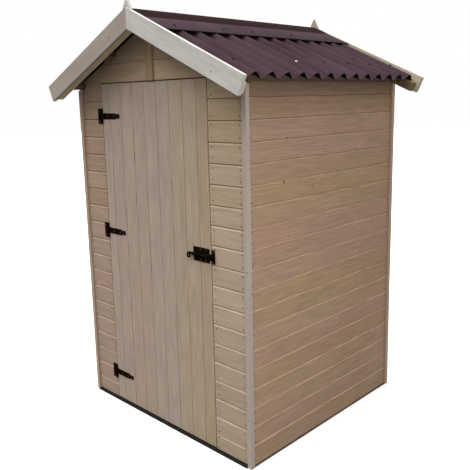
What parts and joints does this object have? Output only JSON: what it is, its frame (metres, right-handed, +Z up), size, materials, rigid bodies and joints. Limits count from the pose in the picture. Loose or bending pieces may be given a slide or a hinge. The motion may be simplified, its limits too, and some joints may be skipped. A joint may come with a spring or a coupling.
{
  "type": "garden shed",
  "caption": "Small timber garden shed with horizontal board walls, a corrugated gable roof with bargeboards, and a hinged ledged door closed by a pad bolt.",
  "frame": {"origin": "on the ground under the middle of the shed", "axes": "+Z up, the door faces -Y, +X to the right as seen from the front"},
  "size_m": [1.395, 1.38, 2.0608],
  "materials": {
    "pine_boards": "planed softwood, untreated and slightly weathered",
    "door_boards": "planed softwood, untreated, greyer than the walls",
    "pale_trim": "planed softwood, pale",
    "sill_timber": "dark preserved timber",
    "bitumen_sheet": "matt bitumen fibre sheet, dark red-brown",
    "black_iron": "black paint"
  },
  "bodies": {
    "shed": {"front_sill": "sill_timber", "back_sill": "sill_timber", "side_sills": "sill_timber", "floor_deck": "pine_boards", "left_wall": "pine_boards", "right_wall": "pine_boards", "back_wall": "pine_boards", "front_wall_left": "pine_boards", "front_wall_right": "pine_boards", "front_gable": "pine_boards", "gable_batten": "pale_trim", "front_left_trim": "pale_trim", "front_right_trim": "pale_trim", "back_left_trim": "pale_trim", "back_right_trim": "pale_trim", "corner_posts": "pine_boards", "door_jambs": "pine_boards", "door_stops": "pine_boards", "gable_rails": "pine_boards", "top_plates": "pine_boards", "ridge_purlin": "pine_boards", "purlins": "pine_boards", "front_rafters": "pine_boards", "back_rafters": "pine_boards", "left_roof_sheet": "bitumen_sheet", "right_roof_sheet": "bitumen_sheet", "ridge_cap": "bitumen_sheet", "front_left_bargeboard": "pale_trim", "front_right_bargeboard": "pale_trim", "back_left_bargeboard": "pale_trim", "back_right_bargeboard": "pale_trim", "front_finial": "pale_trim", "back_finial": "pale_trim", "top_hinge_plate": "black_iron", "middle_hinge_plate": "black_iron", "bottom_hinge_plate": "black_iron", "bolt_keeper": "black_iron"},
    "door": {"door_leaf": "door_boards", "door_ledges": "door_boards", "top_hinge_strap": "black_iron", "middle_hinge_strap": "black_iron", "bottom_hinge_strap": "black_iron", "bolt_plate": "black_iron"},
    "bolt": {"bolt_bar": "black_iron"}
  },
  "joints": [
    {"name": "door_hinge", "type": "hinge", "parent": "shed", "child": "door", "pos_m": [-0.3985, -0.5713, 0], "axis": [0, 0, -1], "range_deg": [0, 120]},
    {"name": "bolt_slide", "type": "slide", "parent": "door", "child": "bolt", "axis": [1, 0, 0], "range_m": [0, 0.024]}
  ]
}
